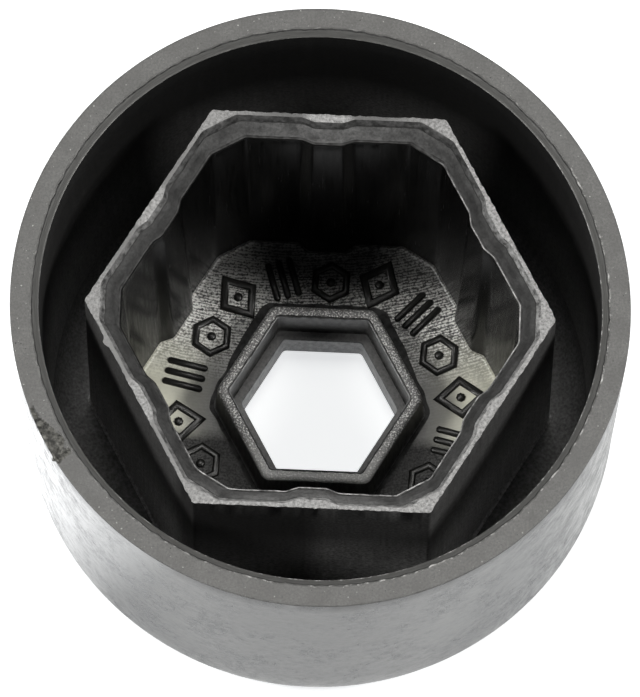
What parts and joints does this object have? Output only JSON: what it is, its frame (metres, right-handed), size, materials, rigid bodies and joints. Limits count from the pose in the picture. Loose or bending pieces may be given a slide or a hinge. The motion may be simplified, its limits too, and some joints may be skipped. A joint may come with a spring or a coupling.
{
  "type": "wheel nut cover cap",
  "caption": "Round push-on plastic cap with a ribbed hexagonal sleeve that grips a wheel nut's head, and a small hexagonal hole for a removal hook.",
  "frame": {"origin": "centre of the closed end's outer face, which the cap stands on", "axes": "+Z along the cap's axis, out of the open mouth; two corners of the hexagonal sleeve lie on the X axis"},
  "size_m": [0.0296, 0.0296, 0.021],
  "materials": {
    "nylon": "black moulded nylon, satin outside with fine scuffs, matt on the rim and in the socket"
  },
  "bodies": {
    "root": {"nut_cap": "nylon"}
  },
  "joints": []
}
